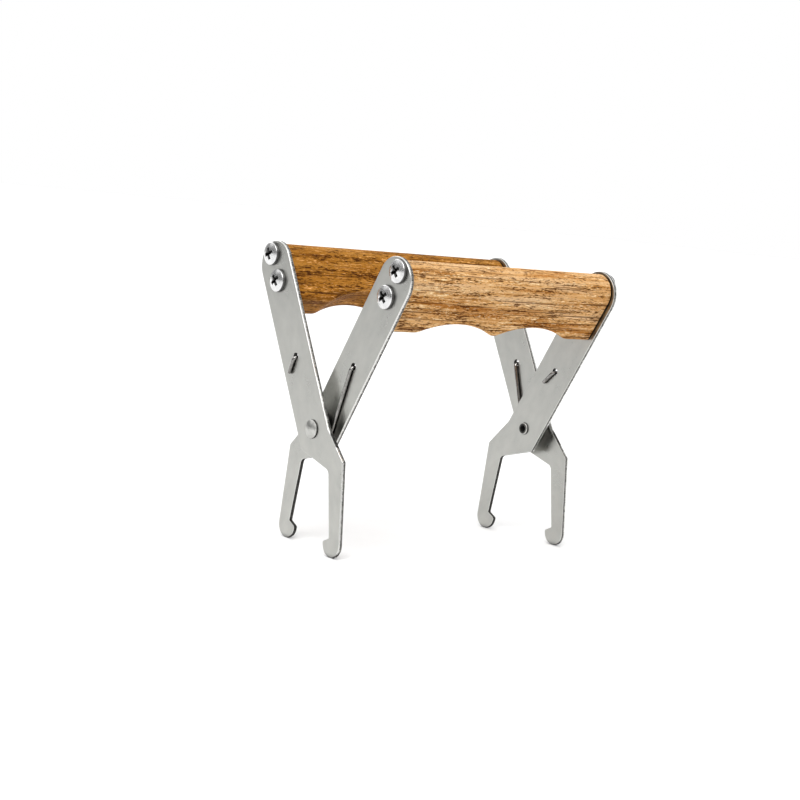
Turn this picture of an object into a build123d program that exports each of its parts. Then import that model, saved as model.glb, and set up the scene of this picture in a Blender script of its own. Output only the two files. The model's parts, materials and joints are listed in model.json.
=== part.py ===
from build123d import *
import os
from math import acos, asin, atan2, cos, hypot, pi, radians, sin

os.makedirs("parts", exist_ok=True)

# A frame grip: two scissor pairs of sheet-steel arms, one at each end of two wooden handles.
# The outer pair of arms carries the back handle, and the inner pair carries the front handle.
# +X runs along the handles, +Y points to the back handle and +Z is up. The origin is on the
# surface that the four hooks stand on, midway between them. All lengths are in millimetres.

# Stance
OPEN_ANGLE = 29.8            # lean of every arm from the vertical, handles apart
SIDES = {"left": -1, "right": 1}
LEANS = {"back": 1, "front": -1}     # the way each handle leans; back is the outer pair

# Arms, measured from the pivot: u across the strip, v along it towards the handle
PLATE = 2.0                  # sheet thickness
STRIP = 22.0                 # strip width
OUTER_FACE = 68.5            # outer pair's outside faces, from the middle of the tool
PLATE_GAP = 4.4              # space between an outer and an inner arm
END_CENTRE = 80.6            # centre of the strip's round end
NECK = (-11.0, -4.2)         # where the strip starts to flare
SHOULDER = (-15.8, -21.6)
ARCH_END = (11.0, -5.6)      # of the arch between the legs, at the strip's far edge
ARCH_CORNER = (-4.7, -21.4)
HEEL = (5.5, -49.3)          # inner corner of the hook
HOOK_CENTRE = (5.1, -52.2)
HOOK_RADIUS = 6.0
TIP_ANGLE = 32.0             # where the hook's ledge leaves the hook's round back
NECK_FILLET = 3.0
SHOULDER_FILLET = 1.6
CORNER_FILLET = 2.6
TIP_FILLET = 1.0
HEEL_FILLET = 0.5            # also where the arch meets the strip's far edge
EDGE_FILLET = 0.3            # broken edges of the sheet

# Handles
HANDLE_HALF = 8.7            # half the thickness, and the radius of the round top
HANDLE_ROUND = 81.8          # centre of the round top
HANDLE_BOTTOM = 60.0         # underside
SCALLOP_DEPTH = 5.4
SCALLOP_HALF = 21.5          # half of a finger scallop's length
SCALLOP_PLACE = 0.19         # its middle from the handle's middle, over the handle's length
CREST_FILLET = 4.5
RUNOUT_FILLET = 9.0
HANDLE_EDGE = 1.5            # rounding of the long lower edges
HANDLE_END = 0.6             # chamfer round each end

# Handle screws, two in each end of each handle
SCREW_PLACES = {"upper": 86.0, "lower": 72.5}
SCREW_HEAD = 5.2             # radius
SCREW_HEAD_HEIGHT = 2.7
SCREW_RIM = 1.4              # height of the head's straight side
SCREW_RIM_FILLET = 0.4
SCREW_SHANK = 2.0
SCREW_LENGTH = 26.0          # under the head
SCREW_TIP = 4.0
PILOT_CLEARANCE = 0.05       # round a screw in its handle
SCREW_HOLE = 2.5             # in the arm
SCREW_SEAT = 0.02            # between the head and the arm
RECESS_LENGTH = 5.8
RECESS_WIDTH = 1.8
RECESS_DEPTH = 1.9
RECESS_TAPER = 14.0
SCREW_TURNS = {"back_left_upper": 22, "back_left_lower": 40, "front_left_upper": 32,
               "front_left_lower": 37, "back_right_upper": 10, "back_right_lower": 65,
               "front_right_upper": 54, "front_right_lower": 15}

# Pivot rivets and the sleeves on them
RIVET_SHANK = 2.2
RIVET_CLEARANCE = 0.05       # all round, in every bore on the rivet
RIVET_HEAD = 4.2
RIVET_HEAD_HEIGHT = 2.1
RIVET_RIM = 0.6              # height of the head's straight side
RIVET_TAIL = 3.0
RIVET_TAIL_HEIGHT = 0.9
RIVET_BORE = 1.7             # the tail is hollow and rolled over
RIVET_BORE_DEPTH = 3.2
SLEEVE = 4.5
END_PLAY = 0.05              # along the pivot, at each moving face

# Torsion springs
WIRE = 0.8                   # radius
COIL = 7.0                   # mean radius
SPRING_HOLE_PLACE = 35.0
SPRING_HOLE = 1.75
WIRE_PLACE = 34.6            # of the wire in its holes, which are wider than it
WIRE_CLEARANCE = 0.15        # between the wire and the plates
EXTRA_TURNS = 1
LEAD = 2.5                   # straight lead from the coil before a leg flattens out
LEAD_BEND = 20.0
WIRE_BEND = 1.6
OUTER_HOOK = (6.4, -5.2)     # bent end on the outer arm's outside, from the wire's place
INNER_HOOK = (-2.4, -8.0)    # bent end on the inner arm's inside, from the wire's place

# Worked out from the dimensions above
HALF = STRIP / 2
BORE = RIVET_SHANK + RIVET_CLEARANCE
INNER_FACE = OUTER_FACE - PLATE - PLATE_GAP      # inner pair's outside faces
FACES = {"back": OUTER_FACE, "front": INNER_FACE}
LEAN = radians(OPEN_ANGLE)
PIVOT_HEIGHT = HOOK_RADIUS - HOOK_CENTRE[1] * cos(LEAN) + HOOK_CENTRE[0] * sin(LEAN)


def place(lean, u, v, x=0.0):
    """The point u across and v along an arm of this lean, at x."""
    return Vector(x, lean * (u * cos(LEAN) + v * sin(LEAN)), PIVOT_HEIGHT + v * cos(LEAN) - u * sin(LEAN))


def arm_plane(lean, x):
    """An arm's own plane at x: u is its x direction and v its y direction."""
    return Plane(origin=(x, 0, PIVOT_HEIGHT), x_dir=(0, lean * cos(LEAN), -sin(LEAN)), z_dir=(lean, 0, 0))


def outward_plane(lean, side, v, x):
    """A plane across the X axis at v on an arm, facing outwards."""
    return Plane(origin=place(lean, 0, v, side * x), x_dir=(0, 1, 0), z_dir=(side, 0, 0))


def tangent_point(start, centre, radius):
    """Where the line from start touches a circle, on the circle's outer side."""
    dx, dy = start[0] - centre[0], start[1] - centre[1]
    angle = atan2(dy, dx) + acos(radius / hypot(dx, dy))
    return centre[0] + radius * cos(angle), centre[1] + radius * sin(angle)


def arm_outline():
    """The outline of one arm, all four being the same blank."""
    tip = (HOOK_CENTRE[0] + HOOK_RADIUS * cos(radians(TIP_ANGLE)),
           HOOK_CENTRE[1] + HOOK_RADIUS * sin(radians(TIP_ANGLE)))
    leg_end = tangent_point(SHOULDER, HOOK_CENTRE, HOOK_RADIUS)
    hook_bottom = (HOOK_CENTRE[0], HOOK_CENTRE[1] - HOOK_RADIUS)
    edges = [
        Line((-HALF, END_CENTRE), NECK),
        Line(NECK, SHOULDER),
        Line(SHOULDER, leg_end),
        ThreePointArc(leg_end, hook_bottom, tip),
        Line(tip, HEEL),
        Line(HEEL, ARCH_CORNER),
        Line(ARCH_CORNER, ARCH_END),
        Line(ARCH_END, (HALF, END_CENTRE)),
        ThreePointArc((HALF, END_CENTRE), (0, END_CENTRE + HALF), (-HALF, END_CENTRE)),
    ]
    outline = make_face(edges)
    for corner, radius in ((NECK, NECK_FILLET), (SHOULDER, SHOULDER_FILLET), (ARCH_CORNER, CORNER_FILLET),
                           (tip, TIP_FILLET), (HEEL, HEEL_FILLET), (ARCH_END, HEEL_FILLET)):
        vertex = outline.vertices().sort_by_distance((corner[0], corner[1], 0))[0]
        outline = fillet(vertex, radius)
    return outline


def arm(end, side):
    """One arm with its pivot bore, spring hole and screw holes."""
    lean, x = LEANS[end], side * (FACES[end] - PLATE / 2)
    plate = extrude(arm_plane(lean, x) * arm_outline(), PLATE / 2, both=True)
    rims = [face.outer_wire().edges() for face in plate.faces().filter_by(Axis.X)]
    plate = fillet([edge for rim in rims for edge in rim], EDGE_FILLET)
    holes = [(0, BORE), (SPRING_HOLE_PLACE, SPRING_HOLE)]
    holes += [(v, SCREW_HOLE) for v in SCREW_PLACES.values()]
    for v, radius in holes:
        plate -= arm_plane(lean, x) * Pos(0, v, 0) * Cylinder(radius, 2 * PLATE)
    return plate


def handle_profile(half_length):
    """A handle seen from its side, x along it and v up: two finger scallops in the underside."""
    height = HANDLE_ROUND + HANDLE_HALF - HANDLE_BOTTOM
    profile = Pos(0, HANDLE_BOTTOM + height / 2) * Rectangle(2 * half_length, height)
    radius = (SCALLOP_HALF ** 2 + SCALLOP_DEPTH ** 2) / (2 * SCALLOP_DEPTH)
    middle = 2 * half_length * SCALLOP_PLACE
    for offset in (-middle, middle):
        profile -= Pos(offset, HANDLE_BOTTOM + SCALLOP_DEPTH - radius) * Circle(radius)
    for reach, rounding in ((middle - SCALLOP_HALF, CREST_FILLET), (middle + SCALLOP_HALF, RUNOUT_FILLET)):
        for offset in (-reach, reach):
            corner = profile.vertices().sort_by_distance((offset, HANDLE_BOTTOM, 0))[0]
            profile = fillet(corner, rounding)
    return profile


def handle(end):
    """A wooden handle: round on top, scalloped underneath, with screw holes in its ends."""
    half_length = FACES[end] - PLATE
    section = Pos(0, HANDLE_ROUND) * Circle(HANDLE_HALF)
    side_height = HANDLE_ROUND - HANDLE_BOTTOM
    section += Pos(0, HANDLE_ROUND - side_height / 2) * Rectangle(2 * HANDLE_HALF, side_height)
    side_view = Plane(origin=(0, 0, 0), x_dir=(0, 0, 1), z_dir=(-1, 0, 0))
    body = extrude(section, half_length, both=True)
    body &= extrude(side_view * handle_profile(half_length), 2 * HANDLE_HALF, both=True)
    lower_edges = [edge for edge in body.edges()
                   if abs(abs(edge.center().X) - HANDLE_HALF) < 0.01
                   and edge.center().Y < HANDLE_BOTTOM + SCALLOP_DEPTH + 1
                   and abs(edge.center().Z) < half_length - 1]
    body = fillet(lower_edges, HANDLE_EDGE)
    end_edges = [edge for edge in body.edges() if abs(edge.center().Z) > half_length - 0.01]
    body = chamfer(end_edges, HANDLE_END)
    hole = Cylinder(SCREW_SHANK + PILOT_CLEARANCE, 2 * (SCREW_LENGTH - PLATE + 1))
    for v in SCREW_PLACES.values():
        for z in (-half_length, half_length):
            body -= Pos(0, v, z) * hole
    return arm_plane(LEANS[end], 0) * body


def domed_head(radius, height, rim):
    """A round head: a crown on a short straight side."""
    crown = height - rim
    ball = (radius ** 2 + crown ** 2) / (2 * crown)
    return Pos(0, 0, height - ball) * Sphere(ball) & Pos(0, 0, height / 2) * Cylinder(radius, height)


def screw(name, side, end, v):
    """A pan-head screw with a cross recess, through an arm into a handle."""
    lean, seat = LEANS[end], FACES[end] + SCREW_SEAT
    head = domed_head(SCREW_HEAD, SCREW_HEAD_HEIGHT, SCREW_RIM)
    rim = [edge for edge in head.edges() if abs(edge.center().Z - SCREW_RIM) < 0.01]
    head = fillet(rim, SCREW_RIM_FILLET)
    shank_length = SCREW_LENGTH - SCREW_TIP
    shank = Pos(0, 0, -shank_length / 2) * Cylinder(SCREW_SHANK, shank_length)
    point = Pos(0, 0, -shank_length - SCREW_TIP / 2) * Cone(0.3, SCREW_SHANK, SCREW_TIP)
    cross = Rectangle(RECESS_LENGTH, RECESS_WIDTH) + Rectangle(RECESS_WIDTH, RECESS_LENGTH)
    recess = extrude(Pos(0, 0, SCREW_HEAD_HEIGHT) * cross, -RECESS_DEPTH, taper=RECESS_TAPER)
    body = head + shank + point - Rot(0, 0, SCREW_TURNS[name]) * recess
    return outward_plane(lean, side, v, seat) * body


def rivet(side):
    """A semi-tubular rivet: round head outside, hollow tail rolled over inside."""
    back = -2 * PLATE - PLATE_GAP - END_PLAY
    shank_length = RIVET_TAIL_HEIGHT - back
    shank = Pos(0, 0, -shank_length / 2) * Cylinder(RIVET_SHANK, shank_length)
    flange = Pos(0, 0, back - RIVET_TAIL_HEIGHT / 2) * Cylinder(RIVET_TAIL, RIVET_TAIL_HEIGHT)
    flange = fillet(flange.edges().sort_by(Axis.Z)[0], 0.7 * RIVET_TAIL_HEIGHT)
    bore = Pos(0, 0, -shank_length + RIVET_BORE_DEPTH / 2) * Cylinder(RIVET_BORE, RIVET_BORE_DEPTH)
    head = domed_head(RIVET_HEAD, RIVET_HEAD_HEIGHT, RIVET_RIM)
    return outward_plane(1, side, 0, OUTER_FACE) * (head + shank + flange - bore)


def sleeve(side):
    """The sleeve that keeps the two plates apart, inside the coil."""
    length = PLATE_GAP - 2 * END_PLAY
    body = Cylinder(SLEEVE, length) - Cylinder(BORE, 2 * length)
    return outward_plane(1, side, 0, OUTER_FACE - PLATE - PLATE_GAP / 2) * body


def wire_along(path):
    """A round wire along a path."""
    return sweep(Plane(origin=path @ 0, z_dir=path % 0) * Circle(WIRE), path=path)


def spring_leg(lean, leave, up, leg_x, through_x, hook):
    """A spring's leg: up from the coil, through an arm's hole and bent over on its far side."""
    route = [leave, leave + up * LEAD, place(lean, 0, WIRE_PLACE, leg_x),
             place(lean, 0, WIRE_PLACE, through_x),
             place(lean, hook[0], WIRE_PLACE + hook[1], through_x)]
    return wire_along(FilletPolyline(*route, radius=[LEAD_BEND, WIRE_BEND, WIRE_BEND]))


def spring():
    """The right-hand torsion spring: a coil round the sleeve and a leg hooked through each arm."""
    standoff = WIRE_CLEARANCE + WIRE
    outer_leg_x, inner_leg_x = OUTER_FACE - PLATE - standoff, INNER_FACE + standoff
    leg_angle = LEAN - asin(COIL / WIRE_PLACE)             # of the legs, from the vertical
    winding = pi - 2 * leg_angle + 2 * pi * EXTRA_TURNS
    rise = outer_leg_x - inner_leg_x
    height = rise / (1 + 2 * LEAD / (COIL * winding))             # the leads take the rest of the rise
    slope = atan2(height, COIL * winding)
    coil_x = inner_leg_x + (rise - height) / 2
    start = (0, -cos(leg_angle), -sin(leg_angle))
    frame = Plane(origin=(coil_x, 0, PIVOT_HEIGHT), x_dir=start, z_dir=(1, 0, 0))
    body = wire_along(frame * Helix(2 * pi * height / winding, height, COIL))
    for lean, x, leg_x, through_x, hook in (
            (1, coil_x + height, outer_leg_x, OUTER_FACE + standoff, OUTER_HOOK),
            (-1, coil_x, inner_leg_x, INNER_FACE - PLATE - standoff, INNER_HOOK)):
        leave = Vector(x, lean * COIL * cos(leg_angle), PIVOT_HEIGHT - COIL * sin(leg_angle))
        up = Vector(lean * sin(slope), lean * sin(leg_angle) * cos(slope), cos(leg_angle) * cos(slope))
        body += spring_leg(lean, leave, up / cos(slope), leg_x, through_x, hook)
    return body


def write(name, solid):
    export_step(solid, f"parts/{name}.step")


for side_name, side in SIDES.items():
    write(f"outer_arm_{side_name}", arm("back", side))
    write(f"inner_arm_{side_name}", arm("front", side))
    write(f"pivot_rivet_{side_name}", rivet(side))
    write(f"pivot_sleeve_{side_name}", sleeve(side))
    for end in LEANS:
        for level, v in SCREW_PLACES.items():
            name = f"{end}_{side_name}_{level}"
            write(f"screw_{name}", screw(name, side, end, v))
write("back_handle", handle("back"))
write("front_handle", handle("front"))
right_spring = spring()
write("torsion_spring_right", right_spring)
write("torsion_spring_left", mirror(right_spring, about=Plane.YZ))
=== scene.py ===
import json
from math import asin, atan2, cos, pi, radians, sin, tan
import bpy
from mathutils import Matrix, Vector


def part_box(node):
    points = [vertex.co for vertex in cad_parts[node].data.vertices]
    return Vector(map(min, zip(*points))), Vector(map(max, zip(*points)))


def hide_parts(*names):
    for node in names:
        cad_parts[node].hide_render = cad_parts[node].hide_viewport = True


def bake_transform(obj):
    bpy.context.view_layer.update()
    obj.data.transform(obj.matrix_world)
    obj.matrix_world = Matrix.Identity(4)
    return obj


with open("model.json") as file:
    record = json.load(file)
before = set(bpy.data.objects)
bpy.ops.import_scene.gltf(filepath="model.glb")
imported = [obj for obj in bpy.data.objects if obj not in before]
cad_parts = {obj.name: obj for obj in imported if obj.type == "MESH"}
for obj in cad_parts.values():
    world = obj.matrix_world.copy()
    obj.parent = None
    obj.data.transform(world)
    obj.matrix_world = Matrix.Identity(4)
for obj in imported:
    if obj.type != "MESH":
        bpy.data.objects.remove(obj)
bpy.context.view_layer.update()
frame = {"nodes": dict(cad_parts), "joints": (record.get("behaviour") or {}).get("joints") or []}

# A frame grip stands open on its four hooks. Lengths are in metres, and +Z is up. A texture's
# sizes are in millimetres, along the handles (x), across an arm (u) and along an arm (v).

MM = 0.001
PIVOT = Vector(frame["joints"][0]["pos_m"])
LEAN = radians(29.8)                     # of every arm from the vertical
LEANS = {"back": 1, "front": -1}         # the way each handle's arms lean
ARMS = {"outer": "back", "inner": "front"}           # the handle that each pair of arms carries
SIDES = {"left": -1, "right": 1}


def span(node):
    """How far from the tool's middle a CAD node begins and ends, along the handles."""
    reach = [abs(corner.x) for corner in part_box(node)]
    return min(reach), max(reach)


def add_object(name, data):
    """A new object in the scene."""
    item = bpy.data.objects.new(name, data)
    bpy.context.scene.collection.objects.link(item)
    return item


# Camera -------------------------------------------------------------------------------------

CAMERA_TURN = radians(39.22)             # of the view, from +Y towards +X
CAMERA_FALL = radians(6.25)              # of the view, below the horizon
CAMERA_ROLL = radians(5.69)
CAMERA_DISTANCE = 0.8394
CAMERA_LENS = 80.46
CAMERA_AIM = PIVOT + Vector((-0.01106, 0.01071, 0.01195))


def add_camera():
    """The camera looks along its axis at the aim point and leans a little to one side."""
    forward = Vector((sin(CAMERA_TURN) * cos(CAMERA_FALL), cos(CAMERA_TURN) * cos(CAMERA_FALL),
                      -sin(CAMERA_FALL)))
    level = forward.cross(Vector((0, 0, 1))).normalized()
    right = Matrix.Rotation(-CAMERA_ROLL, 3, forward) @ level
    up = right.cross(forward)
    camera = add_object("camera", bpy.data.cameras.new("camera"))
    camera.data.lens = CAMERA_LENS
    camera.matrix_world = Matrix((right, up, -forward)).transposed().to_4x4()
    camera.location = CAMERA_AIM - forward * CAMERA_DISTANCE
    bpy.context.scene.camera = camera


# Nodes --------------------------------------------------------------------------------------

class Nodes:
    """A node tree, with a short call for each kind of node that the scene uses."""

    def __init__(self, tree):
        self.tree = tree

    def set(self, node, values):
        """Links each value that is a socket, and copies any other."""
        for key, value in values.items():
            socket = node.inputs[key]
            if isinstance(value, bpy.types.NodeSocket):
                self.tree.links.new(value, socket)
            else:
                socket.default_value = value

    def add(self, kind, values=None, **settings):
        node = self.tree.nodes.new("ShaderNode" + kind)
        for key, value in settings.items():
            setattr(node, key, value)
        self.set(node, values or {})
        return node

    def math(self, operation, first, second=0.0):
        return self.add("Math", {0: first, 1: second}, operation=operation).outputs[0]

    def plus(self, first, second):
        return self.math("ADD", first, second)

    def minus(self, first, second):
        return self.math("SUBTRACT", first, second)

    def times(self, first, second):
        return self.math("MULTIPLY", first, second)

    def larger(self, first, second):
        return self.math("MAXIMUM", first, second)

    def vector(self, operation, first, second=(0, 0, 0)):
        """A vector, or a number where the operation is a length or a dot product."""
        node = self.add("VectorMath", {0: first, 1: second}, operation=operation)
        return node.outputs["Value" if operation in ("LENGTH", "DOT_PRODUCT") else "Vector"]

    def remap(self, value, low, high, new_low=0.0, new_high=1.0, smooth=False):
        """The value's way from low to high, held at both ends, as one from new_low to new_high."""
        values = {"Value": value, "From Min": low, "From Max": high, "To Min": new_low,
                  "To Max": new_high}
        kind = "SMOOTHSTEP" if smooth else "LINEAR"
        return self.add("MapRange", values, interpolation_type=kind).outputs["Result"]


# Light --------------------------------------------------------------------------------------

CARDS = (                                # direction, half-width in degrees, added brightness
    ((-0.65, -0.50, 1.05), 24, 3.6),     # key, high on the left
    ((0.78, -0.62, 0.00), 20, 1.4),      # fill, low on the right
    ((0.15, 0.80, 0.60), 18, 2.4),       # from behind, over the handles
    ((-0.72, 0.69, 0.18), 34, -0.30),    # a grey card behind, that the plates mirror
    ((-0.50, 0.66, 0.56), 14, 0.6),      # a strip above it, that the screws' crowns mirror
    ((0.17, -0.98, -0.05), 40, -0.60),   # a black card in front, for dark edges on round metal
    ((-0.99, -0.10, 0.00), 14, -0.45),   # a small one on the left, for the screws' crowns
)
CARD_BLUR = 0.15                         # half the width of a card's edge, over its half-width
SKY_LOW, SKY_HIGH = 0.42, 1.25           # brightness of the surround, level and overhead
BACKGROUND = 1.0                         # what the camera sees behind the floor


def add_world():
    """A white surround, brighter overhead, with round cards far away."""
    world = bpy.data.worlds.new("studio")
    world.use_nodes = True
    n = Nodes(world.node_tree)
    place = n.add("TexCoord").outputs["Generated"]
    height = n.add("SeparateXYZ", {0: place}).outputs["Z"]
    light = n.remap(height, 0.0, 1.0, SKY_LOW, SKY_HIGH, smooth=True)
    for direction, width, brightness in CARDS:
        facing = n.vector("DOT_PRODUCT", place, Vector(direction).normalized())
        outer = cos(radians(width * (1 + CARD_BLUR)))
        inner = cos(radians(width * (1 - CARD_BLUR)))
        light = n.plus(light, n.remap(facing, outer, inner, 0.0, brightness, smooth=True))
    camera_ray = n.add("LightPath").outputs["Is Camera Ray"]
    seen = n.add("Mix", {0: camera_ray, 2: n.larger(light, 0.0), 3: BACKGROUND}).outputs[0]
    n.set(n.tree.nodes["Background"], {"Color": (1, 1, 1, 1), "Strength": seen})
    bpy.context.scene.world = world


# Materials ----------------------------------------------------------------------------------

NOISE = (0.3, 0.7)                       # most of a noise texture lies between these


def srgb(red, green, blue):
    """A colour from 0 to 255 as linear light."""
    return tuple(((c / 255 + 0.055) / 1.055) ** 2.4 for c in (red, green, blue))


class Finish(Nodes):
    """One material's nodes."""

    def __init__(self, name, **surface):
        self.material = bpy.data.materials.new(name)
        self.material.use_nodes = True
        super().__init__(self.material.node_tree)
        self.shader = self.tree.nodes["Principled BSDF"]
        self.set(self.shader, surface)

    def strip_space(self, lean, offset=(0, 0, 0)):
        """Millimetres along the handles, across an arm and along it, from the pivot."""
        place = self.add("TexCoord").outputs["Object"]
        turned = self.add("Mapping", {"Vector": self.vector("ADD", place, -PIVOT),
                                      "Location": offset,
                                      "Rotation": (lean * LEAN, 0, 0),
                                      "Scale": (1 / MM, 1 / MM, 1 / MM)})
        return turned.outputs[0]

    def noise(self, space, scale, detail=3.0, roughness=0.55, shift=None):
        """Noise that changes scale times per unit of each axis, moved by shift."""
        if shift:
            space = self.vector("ADD", space, shift)
        values = {"Vector": self.vector("MULTIPLY", space, scale), "Scale": 1.0,
                  "Detail": detail, "Roughness": roughness}
        return self.add("TexNoise", values).outputs["Fac"]

    def sideways(self):
        """1 on a face that looks along the handles, and 0 on one that looks across them."""
        normal = self.add("TexCoord").outputs["Normal"]
        return self.math("ABSOLUTE", self.add("SeparateXYZ", {0: normal}).outputs["X"])

    def closeness(self, reach, begins, full, most):
        """0 in the open and up to most in a corner or hollow within reach, in metres.

        It begins and is full at those levels of openness, which is 1 in the open.
        """
        openness = self.add("AmbientOcclusion", {"Distance": reach}, samples=16).outputs["AO"]
        return self.remap(openness, begins, full, 0, most, smooth=True)

    def ramp(self, value, stops):
        node = self.add("ValToRGB", {"Fac": value})
        elements = node.color_ramp.elements
        while len(elements) < len(stops):
            elements.new(0.5)
        for element, (place, colour) in zip(elements, stops):
            element.position = place
            element.color = (*colour, 1)
        return node.outputs["Color"]

    def clouded(self, value, colours):
        """The first colour where a noise is low, and the second where it is high."""
        return self.ramp(value, list(zip(NOISE, colours)))

    def mix(self, share, first, second):
        """The first colour, with a share of the second."""
        node = self.add("Mix", {0: share}, data_type="RGBA")
        for index, value in ((6, first), (7, second)):
            colour = value if isinstance(value, bpy.types.NodeSocket) else (*value, 1)
            self.set(node, {index: colour})
        return node.outputs[2]

    def bump(self, height, depth, under=None):
        """A bump whose full height is depth, in metres."""
        values = {"Height": height, "Strength": 1.0, "Distance": depth}
        if under is not None:
            values["Normal"] = under
        return self.add("Bump", values).outputs[0]


# The wood's patterns: how fast each changes per mm along the handle and in the two directions
# across it, its detail, its roughness, and how far it is moved.
DRIFT = (0.018, 0.07, 0.07), 2.0                       # makes the rings wavy
STREAK = (0.035, 1.0, 1.0), 4.0
PATCH = (0.022, 0.16, 0.16), 2.0
LINE = (0.014, 1.1, 1.1), 3.0, 0.55, (9, 3, 7)         # long dark lines
CLUSTER = (0.045, 0.30, 0.30), 2.0                     # where pores crowd together
DASH = (0.27, 1.9, 1.9), 1.5, 0.6                      # pores and flecks a few mm long
FINE_DASH = (0.60, 3.2, 3.2), 1.0, 0.55, (5, 11, 2)    # shorter ones
BAND = (0.015, 0.40, 0.40), 2.0, 0.55, (3, 19, 23)     # where flecks show most
FIBRE = (0.22, 6.0, 6.0), 2.0

PITH = (0, 46, -38)                      # moves the rings' centre off the handle, in mm
RING = 2.7                               # between two rings, in mm
RING_WANDER = 9.0                        # how far a ring strays, in mm
UNDERSIDE = (79, 71)                     # painted shade and more dark lines grow on a handle between these, along its arms, in mm

# The wood's tone is a sum of shares, and its pores and flecks are where a pattern passes a
# level. Each pair of levels is where a thing begins and where it is full.
STREAK_SHARE, PATCH_SHARE = 0.55, 0.62
EARLY_SHADE, UNDERSIDE_PAINTED_SHADE = 0.06, 0.08      # what early wood, and the underside's painted shade, take off the tone
TONES = (0.34, 0.78)                     # of dark and of light wood
MIDDLE_TONE = 0.40                       # of middle wood, on the way from dark to light
EARLY_WOOD = (0.40, 0.10)                # from a ring's middle, over the ring's width
LINE_LEVELS, LINE_SHARE = (0.605, 0.655), 0.75
LOW_LINES = 0.05                         # what the underside adds to the lines' pattern
CLUSTER_LEVELS = (0.40, 0.66)
EARLY_PORES = 0.06                       # what early wood adds to the clusters' pattern
CROWDING = 0.055                         # what a cluster adds to the pores', or a gap takes off
DASH_PORES, FINE_PORES = (0.605, 0.635), (0.62, 0.67)
DASH_FLECKS, FINE_FLECKS = (0.37, 0.31), (0.345, 0.295)
PORE_SHARE, FINE_PORE_SHARE, FLECK_SHARE = 0.9, 0.9, 0.8
BAND_LEVELS, OUTSIDE_BANDS = (0.42, 0.58), 0.25
FIBRE_LEVELS, FIBRE_SHARE = (0.35, 0.70), 0.3
FIBRE_RELIEF = 0.25                      # height of the fibre, over a pore's depth
WOOD_RELIEF = 0.12 * MM                  # depth of a pore
ROUGHNESS_LEVELS, WOOD_ROUGHNESS = (0.3, 1.3), (0.50, 0.75)
WOOD_CORNER = 1.5 * MM                   # reach of the painted shade where wood meets metal
WOOD_CORNER_LEVELS, WOOD_SHADE_SHARE = (0.85, 0.45), 0.9
WOOD_CORNER_SHADE = srgb(30, 16, 8)

# Light, middle and dark wood, then its pores and its flecks.
GOLDEN = (srgb(222, 189, 148), srgb(210, 161, 102), srgb(166, 106, 44), srgb(78, 40, 14),
          srgb(254, 232, 186))
# The back handle's amber is the front's wood made darker: painted shade, partly a darker board.
SHADED_AMBER = (srgb(184, 130, 58), srgb(160, 106, 36), srgb(116, 70, 20), srgb(60, 28, 8),
         srgb(240, 180, 112))
GOLDEN_OFFSET, AMBER_OFFSET = (0, 0, 0), (57, 31, 13)


def wood(name, lean, colours, offset):
    """Oiled ring-porous wood: wavy rings, short open pores and pale flecks along the handle.

    The offset, in mm, is to the part of the log that the handle is cut from.
    """
    light, middle, dark, pore, fleck = colours
    n = Finish(name, **{"IOR": 1.45, "Specular IOR Level": 0.04})
    space = n.strip_space(lean, offset)
    along_arm = n.add("SeparateXYZ", {0: n.strip_space(lean)}).outputs["Z"]
    underside_shade_and_lines = n.remap(along_arm, *UNDERSIDE, smooth=True)

    ring_place = n.vector("MULTIPLY", n.vector("ADD", space, PITH), (0, 1, 1))
    from_pith = n.plus(n.vector("LENGTH", ring_place),
                       n.times(n.noise(space, *DRIFT), RING_WANDER))
    phase = n.math("FRACT", n.math("DIVIDE", from_pith, RING))
    from_middle = n.math("ABSOLUTE", n.minus(phase, 0.5))
    early = n.remap(from_middle, *EARLY_WOOD, smooth=True)

    tone = n.plus(n.times(n.noise(space, *STREAK), STREAK_SHARE),
                  n.times(n.noise(space, *PATCH), PATCH_SHARE))
    tone = n.minus(tone, n.times(early, EARLY_SHADE))
    # The underside is darker: painted shade, and partly darker wood.
    tone = n.minus(tone, n.times(underside_shade_and_lines, UNDERSIDE_PAINTED_SHADE))
    line = n.plus(n.noise(space, *LINE), n.times(underside_shade_and_lines, LOW_LINES))
    line = n.remap(line, *LINE_LEVELS, 0, LINE_SHARE)

    cluster = n.plus(n.noise(space, *CLUSTER), n.times(early, EARLY_PORES))
    crowd = n.remap(cluster, *CLUSTER_LEVELS, -CROWDING, CROWDING)
    fine = n.noise(space, *FINE_DASH)
    dash = n.plus(n.noise(space, *DASH), crowd)
    pores = n.larger(n.remap(dash, *DASH_PORES),
                     n.remap(n.plus(fine, crowd), *FINE_PORES, 0, FINE_PORE_SHARE))
    flecks = n.larger(n.remap(dash, *DASH_FLECKS, 0, FLECK_SHARE),
                      n.remap(fine, *FINE_FLECKS, 0, FLECK_SHARE))
    flecks = n.times(flecks, n.remap(n.noise(space, *BAND), *BAND_LEVELS, OUTSIDE_BANDS, 1))
    fibre = n.noise(space, *FIBRE)

    colour = n.ramp(n.remap(tone, *TONES), [(0, dark), (MIDDLE_TONE, middle), (1, light)])
    colour = n.mix(n.remap(fibre, *FIBRE_LEVELS, 0, FIBRE_SHARE), colour, dark)
    colour = n.mix(flecks, colour, fleck)
    colour = n.mix(line, colour, pore)
    colour = n.mix(n.times(pores, PORE_SHARE), colour, pore)
    # Painted shade in the corners where wood meets metal.
    painted_corner_shade = n.closeness(WOOD_CORNER, *WOOD_CORNER_LEVELS, WOOD_SHADE_SHARE)
    colour = n.mix(painted_corner_shade, colour, WOOD_CORNER_SHADE)
    relief = n.minus(n.times(fibre, FIBRE_RELIEF), pores)
    rough = n.remap(n.plus(fibre, pores), *ROUGHNESS_LEVELS, *WOOD_ROUGHNESS)
    n.set(n.shader, {"Base Color": colour,
                     "Roughness": rough,
                     "Normal": n.bump(relief, WOOD_RELIEF)})
    return n.material


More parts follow.
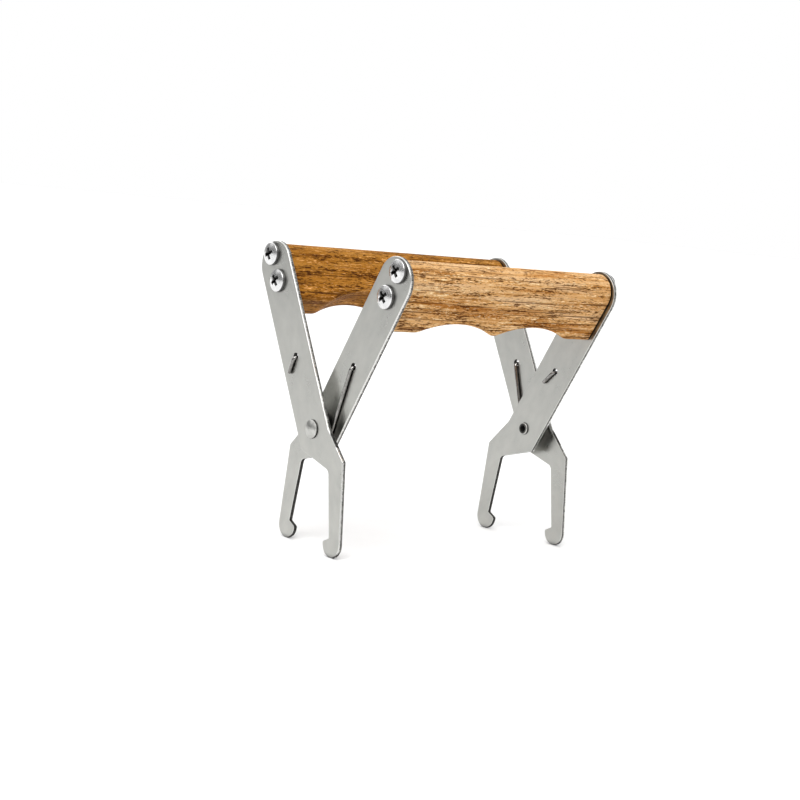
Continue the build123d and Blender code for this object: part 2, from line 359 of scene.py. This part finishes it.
# The sheet's patterns: how fast each changes per mm of x, u and v, its detail and its roughness.
SHEET_CLOUD = (0.05, 0.10, 0.06), 4.0
ROLL_GRAIN = (0.5, 7.0, 0.25), 3.0
RUB = (0.4, 0.5, 2.2), 5.0, 0.7
TEAR = (0.7, 2.6, 2.6), 4.0, 0.7

FACE_GREYS = srgb(172, 172, 168), srgb(190, 190, 185)
SHEARED_GREY = srgb(214, 214, 211)       # the smooth part of a cut edge
TORN_GREYS = srgb(52, 51, 49), srgb(158, 157, 153)
CORNER_HIGHLIGHT_GREY = srgb(238, 238, 235)        # painted highlight, partly wear, on the line between a face and an edge
ARCH_SHADE_GREY = srgb(16, 16, 15)
SHEET_CORNER_SHADE = srgb(32, 31, 30)
SHEET_SHADE_REACH = 4.5 * MM                    # from the corner that the painted shade darkens
SHEET_SHADE_LEVELS, SHEET_SHADE_SHARE = (0.80, 0.35), 0.88

# How much a surface faces along the handles tells a face, 1, from an edge, 0. The painted
# highlight, partly wear, on the line between them rises between one pair of levels and falls
# between the other.
EDGE_LEVELS = (0.75, 0.25)
HIGHLIGHT_RISE, HIGHLIGHT_FALL, HIGHLIGHT_SHARE = (0.30, 0.60), (0.98, 0.80), 0.8

TORN_FROM = (1.35, 1.05)                 # from the inner face, where an edge turns torn, in mm
TEAR_WANDER = 0.35                       # how far that line strays, in mm
TORN_LEVELS = (0.38, 0.62)               # of the tear's pattern, for its two greys
LEG_SLOPE = 0.45                         # of a leg's middle line, across over along
LEG_MIDDLE, LEG_BLUR = -20.0, 0.5        # where that line stands and half its blur, in mm
ARCH_TOP, ARCH_BLUR = -6.0, 1.0          # the same for the top of the arch between the legs
ARCH_TEAR = 0.9                          # how much deeper the arch's edge is torn, in mm
ARCH_SHADE_SHARE = 0.72                        # of the arch's painted shade, near black, in its torn part
FACE_ROUGHNESS = (0.27, 0.36)
RUB_LEVELS, RUB_ROUGHNESS = (0.35, 0.7), (-0.03, 0.05)   # added to the face's roughness
EDGE_ROUGHNESS = (0.26, 0.62)            # of an edge's smooth part and its torn part
GRAIN_RELIEF = 0.006 * MM
TEAR_RELIEF = 0.1 * MM


def sheet_steel(name, lean, inside_x):
    """Satin stainless sheet: roll grain along the arm, faint clouding and sheared edges.

    The inner part of each edge is torn and grey. In the arch between the legs it is torn
    through and carries painted shade that makes it near black. The plate's inner face is at
    inside_x, in metres.
    """
    n = Finish(name, Metallic=1.0)
    space = n.strip_space(lean)
    cloud = n.noise(space, *SHEET_CLOUD)
    rub = n.noise(space, *RUB)
    tear = n.noise(space, *TEAR)
    facing = n.sideways()
    edge = n.remap(facing, *EDGE_LEVELS, smooth=True)
    # A painted highlight, partly wear, on the rounded line between a face and an edge.
    corner = n.times(n.remap(facing, *HIGHLIGHT_RISE), n.remap(facing, *HIGHLIGHT_FALL))

    x, u, v = n.add("SeparateXYZ", {0: space}).outputs
    from_leg = n.plus(n.times(u, lean), n.times(v, LEG_SLOPE))
    arch = n.times(n.remap(from_leg, LEG_MIDDLE - LEG_BLUR, LEG_MIDDLE + LEG_BLUR),
                   n.remap(v, ARCH_TOP + ARCH_BLUR, ARCH_TOP - ARCH_BLUR))
    depth = n.minus(n.math("ABSOLUTE", x), n.times(arch, ARCH_TEAR))
    depth = n.plus(depth, n.remap(tear, *NOISE, -TEAR_WANDER, TEAR_WANDER))
    clean, ragged = (inside_x / MM + distance for distance in TORN_FROM)
    torn = n.remap(depth, clean, ragged, smooth=True)

    torn_colour = n.ramp(tear, list(zip(TORN_LEVELS, TORN_GREYS)))
    # Painted shade, near black, on the arch's torn edge.
    torn_colour = n.mix(n.times(arch, ARCH_SHADE_SHARE), torn_colour, ARCH_SHADE_GREY)
    edge_colour = n.mix(torn, SHEARED_GREY, torn_colour)
    colour = n.mix(edge, n.clouded(cloud, FACE_GREYS), edge_colour)
    colour = n.mix(n.times(corner, HIGHLIGHT_SHARE), colour, CORNER_HIGHLIGHT_GREY)
    # Painted shade in the corners between parts, such as between the plates.
    painted_corner_shade = n.closeness(SHEET_SHADE_REACH, *SHEET_SHADE_LEVELS, SHEET_SHADE_SHARE)
    colour = n.mix(painted_corner_shade, colour, SHEET_CORNER_SHADE)

    face_rough = n.plus(n.remap(cloud, *NOISE, *FACE_ROUGHNESS),
                        n.remap(rub, *RUB_LEVELS, *RUB_ROUGHNESS))
    edge_rough = n.remap(torn, 0, 1, *EDGE_ROUGHNESS)
    rough = n.add("Mix", {0: edge, 2: face_rough, 3: edge_rough}).outputs[0]
    grain = n.bump(n.noise(space, *ROLL_GRAIN), GRAIN_RELIEF)
    edge_relief = n.times(torn, n.times(edge, tear))
    n.set(n.shader, {"Base Color": colour,
                     "Roughness": rough,
                     "Normal": n.bump(edge_relief, TEAR_RELIEF, grain)})
    return n.material


# The small parts' patterns, as the sheet's.
PLATE_CLOUD = (0.25, 0.25, 0.25), 4.0, 0.65
HANDLING_MARK = (2.5, 2.5, 2.5), 3.0, 0.7
WIRE_CLOUD = (0.9, 0.9, 0.9), 4.0, 0.7
FLOOR_CLOUD = (40, 40, 40), 3.0          # per metre

SCREW_GREYS = srgb(206, 206, 206), srgb(232, 232, 231)
RIVET_GREYS = srgb(168, 168, 164), srgb(200, 200, 196)
WIRE_GREYS = srgb(104, 102, 100), srgb(164, 162, 159)
FLOOR_GREYS = (0.80, 0.80, 0.80), (0.82, 0.82, 0.82)
# Painted shade: in corners and recesses, on the heads' side walls and in a rivet's mouth.
PLATED_SHADE = srgb(34, 33, 31)
PLATED_SHADE_REACH, PLATED_SHADE_LEVELS = 2.2 * MM, (0.85, 0.45)   # from the corner that the painted shade darkens
SIDE_LEVELS, SIDE_SHADE_SHARE = (0.65, 0.25), 0.75
MOUTH, MOUTH_BLUR = 2.45, 0.15           # radius of a rivet's mouth and half its edge, in mm
MOUTH_DEPTH = 0.1                        # over which the mouth's painted shade begins, in mm
MOUTH_SHADE_SHARE = 0.85
SHADE_ROUGHNESS = 0.3                    # what the places of painted shade add
MARK_LEVELS, MARK_ROUGHNESS = (0.35, 0.7), 0.12      # what a handling mark adds
MARK_RELIEF = 0.01 * MM
WIRE_ROUGHNESS = (0.12, 0.22)


def plated_steel(name, greys, roughness, inside_x=0.0):
    """Plated steel with fine handling marks, and painted shade in its corners, sides and hollow
    mouth.

    The mouth is nearer the tool's middle than inside_x, in metres, on the pivot's axis.
    """
    n = Finish(name, Metallic=1.0)
    space = n.strip_space(1)
    mark = n.noise(space, *HANDLING_MARK)
    # Painted shade in corners and in the screws' recesses.
    corners = n.closeness(PLATED_SHADE_REACH, *PLATED_SHADE_LEVELS, 1)
    # Painted shade on the heads' side walls, which look across the handles.
    side_shade = n.remap(n.sideways(), *SIDE_LEVELS, 0, SIDE_SHADE_SHARE, smooth=True)
    radius = n.vector("LENGTH", n.vector("MULTIPLY", space, (0, 1, 1)))
    depth = n.math("ABSOLUTE", n.add("SeparateXYZ", {0: space}).outputs["X"])
    # Painted shade, near black, in a rivet's hollow mouth.
    mouth_shade = n.times(n.remap(radius, MOUTH + MOUTH_BLUR, MOUTH - MOUTH_BLUR, 0, MOUTH_SHADE_SHARE),
                    n.remap(depth, inside_x / MM, inside_x / MM - MOUTH_DEPTH))
    painted_shade = n.larger(n.larger(corners, side_shade), mouth_shade)
    rough = n.plus(n.remap(mark, *MARK_LEVELS, roughness, roughness + MARK_ROUGHNESS),
                   n.times(painted_shade, SHADE_ROUGHNESS))
    colour = n.clouded(n.noise(space, *PLATE_CLOUD), greys)
    n.set(n.shader, {"Base Color": n.mix(painted_shade, colour, PLATED_SHADE),
                     "Roughness": rough,
                     "Normal": n.bump(mark, MARK_RELIEF)})
    return n.material


def spring_wire():
    """Drawn spring wire, darker than the sheet."""
    n = Finish("spring_wire", Metallic=1.0)
    cloud = n.noise(n.strip_space(1), *WIRE_CLOUD)
    n.set(n.shader, {"Base Color": n.clouded(cloud, WIRE_GREYS),
                     "Roughness": n.remap(cloud, *NOISE, *WIRE_ROUGHNESS),
                     "Normal": n.bump(cloud, MARK_RELIEF)})
    return n.material


def floor_finish():
    """A pale matt floor."""
    n = Finish("floor", Roughness=0.9)
    cloud = n.noise(n.add("TexCoord").outputs["Object"], *FLOOR_CLOUD)
    n.set(n.shader, {"Base Color": n.clouded(cloud, FLOOR_GREYS)})
    return n.material


# Torsion springs ----------------------------------------------------------------------------

WIRE = 0.8 * MM                          # radius of the wire
COIL = 7.0 * MM                          # radius of the wire's middle line in the coil
WIRE_PLACE = 34.6 * MM                   # where it goes through each arm, along the arm
PLATE = 2.0 * MM                         # thickness of the arms
WIRE_CLEARANCE = 0.15 * MM               # between the wire and an arm
LEAD = 2.5 * MM                          # a leg's straight run off the coil
LEAD_BEND = 20.0 * MM                    # radius of the bend that lays a leg on its arm
WIRE_BEND = 1.6 * MM                     # radius of the bends at the arm's hole
OUTER_HOOK = (6.4 * MM, -5.2 * MM)       # from the hole to the hook's tip, across and along
INNER_HOOK = (-2.4 * MM, -8.0 * MM)
EXTRA_TURNS = 1                          # of the coil, besides what the legs' angle needs
TIP_WIDTH = 0.7                          # of the wire's rounded tip, over the wire's
TIP_LENGTH = 0.3                         # of that tip, over the wire's radius
RING_POINTS = 20                         # round the wire
COIL_POINTS = 120                        # along the coil
BEND_POINTS = 10                         # along each bend


def arm_point(lean, u, v, x):
    """The point u across and v along an arm of this lean, at x."""
    return Vector((x, lean * (u * cos(LEAN) + v * sin(LEAN)),
                   PIVOT.z + v * cos(LEAN) - u * sin(LEAN)))


def rounded(route, radii):
    """Points along straight runs joined by arcs."""
    points = [route[0]]
    for before, corner, after, radius in zip(route, route[1:], route[2:], radii):
        back, on = (before - corner).normalized(), (after - corner).normalized()
        half = back.angle(on) / 2
        middle = corner + (back + on).normalized() * (radius / sin(half))
        start = corner + back * (radius / tan(half)) - middle
        axis = back.cross(on).normalized()
        for step in range(BEND_POINTS + 1):
            turn = Matrix.Rotation(-(pi - 2 * half) * step / BEND_POINTS, 3, axis)
            points.append(middle + turn @ start)
    return points + [route[-1]]


def tube(name, points, radius):
    """A round wire along the points, its first and last rings smaller for the rounded tips."""
    runs = [(b - a).normalized() for a, b in zip(points, points[1:])]
    bends = [(a + b).normalized() for a, b in zip(runs, runs[1:])]
    tangents = [runs[0]] + bends + [runs[-1]]
    widths = [TIP_WIDTH] + [1.0] * (len(points) - 2) + [TIP_WIDTH]
    side = runs[0].orthogonal().normalized()
    verts, last = [], runs[0]
    for point, tangent, width in zip(points, tangents, widths):
        side = last.rotation_difference(tangent) @ side
        side = (side - tangent * side.dot(tangent)).normalized()
        last, up = tangent, tangent.cross(side)
        for k in range(RING_POINTS):
            angle = 2 * pi * k / RING_POINTS
            verts.append(point + (side * cos(angle) + up * sin(angle)) * radius * width)
    faces = [tuple(range(RING_POINTS))[::-1], tuple(range(len(verts) - RING_POINTS, len(verts)))]
    for ring in range(len(points) - 1):
        for k in range(RING_POINTS):
            a, b = ring * RING_POINTS + k, ring * RING_POINTS + (k + 1) % RING_POINTS
            faces.append((a, b, b + RING_POINTS, a + RING_POINTS))
    mesh = bpy.data.meshes.new(name)
    mesh.from_pydata(verts, [], faces)
    mesh.shade_smooth()
    return add_object(name, mesh)


def eased_ends(points, radius):
    """The same points with a short step at each end, for the rounded tips."""
    step = radius * TIP_LENGTH
    first = points[0] + (points[1] - points[0]).normalized() * step
    last = points[-1] + (points[-2] - points[-1]).normalized() * step
    return [points[0], first] + points[1:-1] + [last, points[-1]]


def spring_route(side, outer_x, inner_x):
    """The wire's middle line, from the hook on the outer arm round the coil to the inner arm's."""
    standoff = WIRE_CLEARANCE + WIRE
    outer_leg_x, inner_leg_x = outer_x - PLATE - standoff, inner_x + standoff
    leg_angle = LEAN - asin(COIL / WIRE_PLACE)
    winding = pi - 2 * leg_angle + 2 * pi * EXTRA_TURNS
    rise = outer_leg_x - inner_leg_x
    height = rise / (1 + 2 * LEAD / (COIL * winding))
    slope = atan2(height, COIL * winding)
    coil_x = inner_leg_x + (rise - height) / 2

    def leg(lean, x, leg_x, through_x, hook):
        leave = Vector((x, lean * COIL * cos(leg_angle), PIVOT.z - COIL * sin(leg_angle)))
        up = Vector((lean * tan(slope), lean * sin(leg_angle), cos(leg_angle)))
        route = [leave, leave + up * LEAD, arm_point(lean, 0, WIRE_PLACE, leg_x),
                 arm_point(lean, 0, WIRE_PLACE, through_x),
                 arm_point(lean, hook[0], WIRE_PLACE + hook[1], through_x)]
        return rounded(route, [LEAD_BEND, WIRE_BEND, WIRE_BEND])

    coil = []
    for step in range(1, COIL_POINTS):
        share = step / COIL_POINTS
        angle = -leg_angle - winding * share
        coil.append(Vector((coil_x + height * (1 - share), COIL * cos(angle),
                            PIVOT.z + COIL * sin(angle))))
    outer = leg(1, coil_x + height, outer_leg_x, outer_x + standoff, OUTER_HOOK)
    inner = leg(-1, coil_x, inner_leg_x, inner_x - PLATE - standoff, INNER_HOOK)
    points = eased_ends(outer[::-1] + coil + inner, WIRE)
    return [Vector((side * p.x, p.y, p.z)) for p in points]


def add_spring(side_name, material):
    """A torsion spring: its legs lie along their arms, and its coil winds between them."""
    side = SIDES[side_name]
    outer_x = span(f"outer_arm_{side_name}")[1]
    inner_x = span(f"inner_arm_{side_name}")[1]
    piece = tube(f"spring_{side_name}", spring_route(side, outer_x, inner_x), WIRE)
    piece.data.materials.append(material)
    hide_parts(f"torsion_spring_{side_name}")
    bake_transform(piece)


# The scene ----------------------------------------------------------------------------------

FLOOR = 12.0                             # half the floor's width


def add_floor():
    """A wide floor under the hooks."""
    mesh = bpy.data.meshes.new("floor")
    corners = [(-FLOOR, -FLOOR, 0), (FLOOR, -FLOOR, 0), (FLOOR, FLOOR, 0), (-FLOOR, FLOOR, 0)]
    mesh.from_pydata(corners, [], [(0, 1, 2, 3)])
    mesh.materials.append(floor_finish())
    add_object("floor", mesh)


def dress(node, material):
    """Gives a CAD node its finish."""
    slots = frame["nodes"][node].data.materials
    slots.clear()
    slots.append(material)


def dress_parts():
    """Puts a finish on every CAD node, and the wire springs in the CAD ones' place."""
    dress("front_handle", wood("front_wood", LEANS["front"], GOLDEN, GOLDEN_OFFSET))
    dress("back_handle", wood("back_wood_shaded", LEANS["back"], SHADED_AMBER, AMBER_OFFSET))
    screw = plated_steel("bright_screw", SCREW_GREYS, 0.20)
    for kind, end in ARMS.items():
        steel = sheet_steel(f"{kind}_sheet", LEANS[end], span(f"{kind}_arm_right")[0])
        for side_name in SIDES:
            dress(f"{kind}_arm_{side_name}", steel)
            for level in ("upper", "lower"):
                dress(f"screw_{end}_{side_name}_{level}", screw)
    rivet = plated_steel("pressed_rivet", RIVET_GREYS, 0.3, span("inner_arm_right")[0])
    wire = spring_wire()
    for side_name in SIDES:
        dress(f"pivot_rivet_{side_name}", rivet)
        dress(f"pivot_sleeve_{side_name}", rivet)
        add_spring(side_name, wire)


add_camera()
add_world()
bpy.context.scene.view_settings.view_transform = "Standard"
add_floor()
dress_parts()
